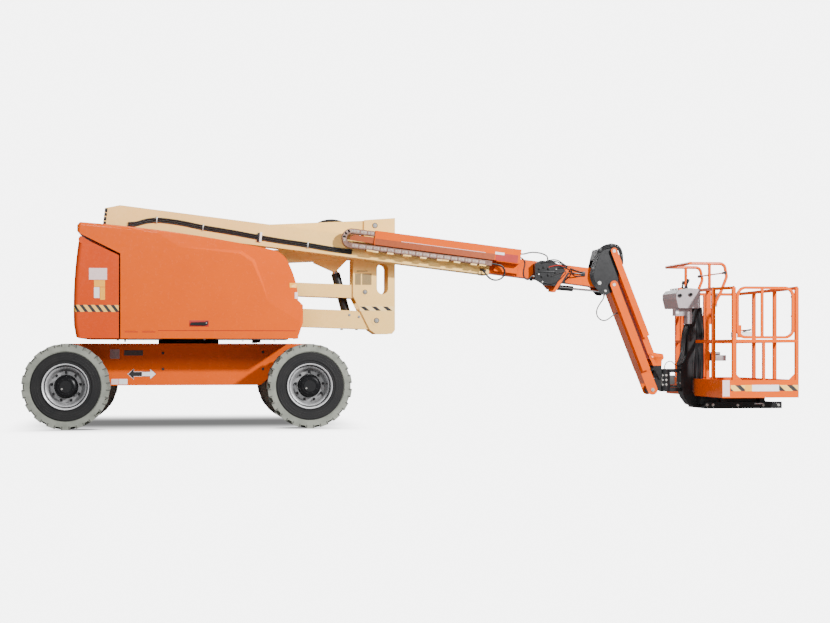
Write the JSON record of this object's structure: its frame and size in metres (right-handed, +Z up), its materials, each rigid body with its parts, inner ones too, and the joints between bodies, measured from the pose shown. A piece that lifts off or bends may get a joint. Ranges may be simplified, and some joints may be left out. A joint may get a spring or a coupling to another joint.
{
  "type": "articulating boom lift",
  "caption": "Self-propelled articulating boom lift with slewing turntable, parallelogram riser, telescoping boom, jib and guarded work platform.",
  "frame": {"origin": "on the floor, midway between the axles, under the slewing axis", "axes": "+X towards the work platform, +Z up, +Y to the left when facing +X"},
  "size_m": [7.9338, 2.15, 2.2544],
  "materials": {
    "orange_paint": "gloss",
    "cream_paint": "satin",
    "black_paint": "satin",
    "bare_steel": "satin",
    "chrome_rod": "polished",
    "silver_rim": "satin",
    "grey_tyre": "matt",
    "grey_plastic": "matt",
    "black_rubber": "matt",
    "black_plastic": "matt"
  },
  "bodies": {
    "chassis": {"chassis_frame": "orange_paint", "tie_down_lugs": "black_paint", "drive_axle": "black_paint", "steer_axle": "black_paint", "slew_ring": "bare_steel"},
    "knuckle_right": {"knuckle_right": "black_paint"},
    "knuckle_left": {"knuckle_left": "black_paint"},
    "steer_wheel_right": {"tyre_steer_right": "grey_tyre", "rim_steer_right": "silver_rim"},
    "steer_wheel_left": {"tyre_steer_left": "grey_tyre", "rim_steer_left": "silver_rim"},
    "drive_wheel_right": {"tyre_drive_right": "grey_tyre", "rim_drive_right": "silver_rim"},
    "drive_wheel_left": {"tyre_drive_left": "grey_tyre", "rim_drive_left": "silver_rim"},
    "turntable": {"turntable_frame": "black_paint", "counterweight": "orange_paint", "battery_pack": "black_paint"},
    "hood_right": {"hood_right": "orange_paint"},
    "hood_left": {"hood_left": "orange_paint"},
    "lower_boom": {"lower_boom": "cream_paint"},
    "lower_link": {"lower_link": "cream_paint"},
    "front_upright": {"front_upright": "cream_paint"},
    "mid_boom": {"mid_boom": "cream_paint", "boom_rest": "black_paint"},
    "mid_link": {"mid_link": "cream_paint"},
    "rear_upright": {"rear_upright": "cream_paint"},
    "riser_cylinder_barrel": {"riser_cylinder_barrel": "black_paint"},
    "riser_cylinder_stage": {"riser_cylinder_stage": "chrome_rod"},
    "riser_cylinder_rod": {"riser_cylinder_rod": "chrome_rod"},
    "main_boom": {"main_boom": "cream_paint", "track_lower_run": "bare_steel", "boom_hoses": "black_rubber", "track_loop_hose_near": "black_rubber", "track_loop_hose_far": "black_rubber"},
    "lift_cylinder_barrel": {"lift_cylinder_barrel": "black_paint"},
    "lift_cylinder_rod": {"lift_cylinder_rod": "chrome_rod"},
    "fly": {"fly_boom": "orange_paint", "track_tube": "orange_paint", "valve_block": "black_paint", "fly_hose_upper": "black_rubber", "fly_hose_lower": "black_rubber"},
    "track_bend": {"track_bend": "bare_steel"},
    "jib_bracket": {"jib_bracket": "black_paint", "jib_loop_hose": "black_rubber"},
    "level_cylinder_barrel": {"level_cylinder_barrel": "black_paint"},
    "level_cylinder_rod": {"level_cylinder_rod": "chrome_rod"},
    "jib_beam": {"jib_beam": "orange_paint"},
    "jib_link": {"jib_link": "orange_paint"},
    "jib_tip": {"jib_tip": "orange_paint", "rotator": "black_paint"},
    "platform": {"platform_support": "black_paint", "platform_floor": "orange_paint", "platform_rails": "orange_paint", "guard_hoops": "orange_paint", "control_console": "grey_plastic", "platform_hose": "black_rubber", "console_cover": "black_plastic"},
    "gate": {"gate": "orange_paint"}
  },
  "joints": [
    {"name": "steer_right", "type": "hinge", "parent": "chassis", "child": "knuckle_right", "pos_m": [-1.185, -0.69, 0.42], "axis": [0, 0, 1], "range_deg": [-35, 35]},
    {"name": "steer_left", "type": "hinge", "parent": "chassis", "child": "knuckle_left", "pos_m": [-1.185, 0.69, 0.42], "axis": [0, 0, 1], "range_deg": [-35, 35]},
    {"name": "steer_wheel_right_spin", "type": "hinge", "parent": "knuckle_right", "child": "steer_wheel_right", "pos_m": [-1.185, -0.92, 0.42], "axis": [0, 1, 0], "continuous": true},
    {"name": "drive_wheel_right_spin", "type": "hinge", "parent": "chassis", "child": "drive_wheel_right", "pos_m": [1.185, -0.92, 0.42], "axis": [0, 1, 0], "continuous": true},
    {"name": "steer_wheel_left_spin", "type": "hinge", "parent": "knuckle_left", "child": "steer_wheel_left", "pos_m": [-1.185, 0.92, 0.42], "axis": [0, 1, 0], "continuous": true},
    {"name": "drive_wheel_left_spin", "type": "hinge", "parent": "chassis", "child": "drive_wheel_left", "pos_m": [1.185, 0.92, 0.42], "axis": [0, 1, 0], "continuous": true},
    {"name": "turntable_swing", "type": "hinge", "parent": "chassis", "child": "turntable", "pos_m": [0, 0, 0.884], "axis": [0, 0, 1], "range_deg": [-177.5, 177.5]},
    {"name": "hood_right_hinge", "type": "hinge", "parent": "turntable", "child": "hood_right", "pos_m": [-0.7, -0.412, 1.96], "axis": [-0.991, 0, 0.134], "range_deg": [0, 65]},
    {"name": "hood_left_hinge", "type": "hinge", "parent": "turntable", "child": "hood_left", "pos_m": [-0.7, 0.412, 1.96], "axis": [0.991, 0, -0.134], "range_deg": [0, 65]},
    {"name": "riser_lift", "type": "hinge", "parent": "turntable", "child": "lower_boom", "pos_m": [-0.475, 0.121, 1.177], "axis": [0, -1, 0], "range_deg": [0, 70]},
    {"name": "lower_link_foot", "type": "hinge", "parent": "turntable", "child": "lower_link", "pos_m": [-0.598, 0.121, 1.479], "axis": [0, -1, 0], "range_deg": [0, 70]},
    {"name": "upright_low", "type": "hinge", "parent": "lower_boom", "child": "front_upright", "pos_m": [1.975, 0.121, 1.092], "axis": [0, -1, 0], "range_deg": [-70, 0]},
    {"name": "upright_high", "type": "hinge", "parent": "front_upright", "child": "mid_boom", "pos_m": [1.959, 0.121, 2.101], "axis": [0, -1, 0], "range_deg": [-70, 0]},
    {"name": "mid_link_hinge", "type": "hinge", "parent": "front_upright", "child": "mid_link", "pos_m": [1.919, 0.121, 1.841], "axis": [0, -1, 0], "range_deg": [-70, 0]},
    {"name": "tail_hinge", "type": "hinge", "parent": "mid_boom", "child": "rear_upright", "pos_m": [-0.541, 0.121, 1.971], "axis": [0, -1, 0], "range_deg": [0, 70]},
    {"name": "riser_barrel_foot", "type": "hinge", "parent": "lower_boom", "child": "riser_cylinder_barrel", "pos_m": [1.68, 0.121, 1.13], "axis": [0, -1, 0], "range_deg": [-75.5, 0]},
    {"name": "riser_stage_slide", "type": "slide", "parent": "riser_cylinder_barrel", "child": "riser_cylinder_stage", "axis": [-0.2602, 0, 0.9656], "range_m": [0, 0.39105]},
    {"name": "riser_rod_slide", "type": "slide", "parent": "riser_cylinder_stage", "child": "riser_cylinder_rod", "axis": [-0.2602, 0, 0.9656], "range_m": [0, 0.39105]},
    {"name": "main_lift", "type": "hinge", "parent": "rear_upright", "child": "main_boom", "pos_m": [-0.745, -0.19, 1.978], "axis": [0, -1, 0], "range_deg": [0, 77]},
    {"name": "lift_barrel_foot", "type": "hinge", "parent": "rear_upright", "child": "lift_cylinder_barrel", "pos_m": [-0.5, -0.19, 1.504], "axis": [0, -1, 0], "range_deg": [0, 67.89]},
    {"name": "lift_rod_slide", "type": "slide", "parent": "lift_cylinder_barrel", "child": "lift_cylinder_rod", "axis": [0.9682, 0, 0.2503], "range_m": [0, 0.6225]},
    {"name": "telescope", "type": "slide", "parent": "main_boom", "child": "fly", "axis": [0.9932, 0, -0.1167], "range_m": [0, 2.7]},
    {"name": "track_travel", "type": "slide", "parent": "main_boom", "child": "track_bend", "axis": [0.9932, 0, -0.1167], "range_m": [0, 1.35]},
    {"name": "level_hinge", "type": "hinge", "parent": "fly", "child": "jib_bracket", "pos_m": [4.343, -0.19, 1.495], "axis": [0, -1, 0], "range_deg": [-77, 0]},
    {"name": "level_barrel_foot", "type": "hinge", "parent": "fly", "child": "level_cylinder_barrel", "pos_m": [3.82, -0.19, 1.457], "axis": [0, -1, 0], "range_deg": [-1.14, 0]},
    {"name": "level_rod_slide", "type": "slide", "parent": "level_cylinder_barrel", "child": "level_cylinder_rod", "axis": [0.9968, 0, -0.0795], "range_m": [-0.13372, 0]},
    {"name": "jib_lift", "type": "hinge", "parent": "jib_bracket", "child": "jib_beam", "pos_m": [4.497, -0.19, 1.477], "axis": [0, -1, 0], "range_deg": [0, 145]},
    {"name": "jib_link_foot", "type": "hinge", "parent": "jib_bracket", "child": "jib_link", "pos_m": [4.497, -0.19, 1.837], "axis": [0, -1, 0], "range_deg": [0, 145]},
    {"name": "jib_tip_hinge", "type": "hinge", "parent": "jib_beam", "child": "jib_tip", "pos_m": [4.94083, -0.19, 0.35026], "axis": [0, -1, 0], "range_deg": [-145, 0]},
    {"name": "platform_rotate", "type": "hinge", "parent": "jib_tip", "child": "platform", "pos_m": [5.105, -0.19, 0.45], "axis": [0, 0, 1], "range_deg": [-90, 90]},
    {"name": "gate_hinge", "type": "hinge", "parent": "platform", "child": "gate", "pos_m": [6.215, -1.06, 1.15], "axis": [0, 0, 1], "range_deg": [-90, 0]}
  ],
  "couplings": [
    {"joint": "steer_right", "follows": "steer_left", "ratio": 1},
    {"joint": "lower_link_foot", "follows": "riser_lift", "ratio": 1},
    {"joint": "upright_low", "follows": "riser_lift", "ratio": -1},
    {"joint": "upright_high", "follows": "riser_lift", "ratio": -1},
    {"joint": "mid_link_hinge", "follows": "riser_lift", "ratio": -1},
    {"joint": "tail_hinge", "follows": "riser_lift", "ratio": 1},
    {"joint": "riser_barrel_foot", "follows": "riser_lift", "ratio": -1.0775},
    {"joint": "riser_stage_slide", "follows": "riser_lift", "m_per_rad": 0.31976},
    {"joint": "riser_rod_slide", "follows": "riser_lift", "m_per_rad": 0.31976},
    {"joint": "lift_barrel_foot", "follows": "main_lift", "ratio": 0.88087},
    {"joint": "lift_rod_slide", "follows": "main_lift", "m_per_rad": 0.46274},
    {"joint": "track_travel", "follows": "telescope", "ratio": 0.5},
    {"joint": "level_hinge", "follows": "main_lift", "ratio": -1},
    {"joint": "level_barrel_foot", "follows": "main_lift", "ratio": -0.014794},
    {"joint": "level_rod_slide", "follows": "main_lift", "m_per_rad": -0.099401},
    {"joint": "jib_link_foot", "follows": "jib_lift", "ratio": 1},
    {"joint": "jib_tip_hinge", "follows": "jib_lift", "ratio": -1}
  ]
}
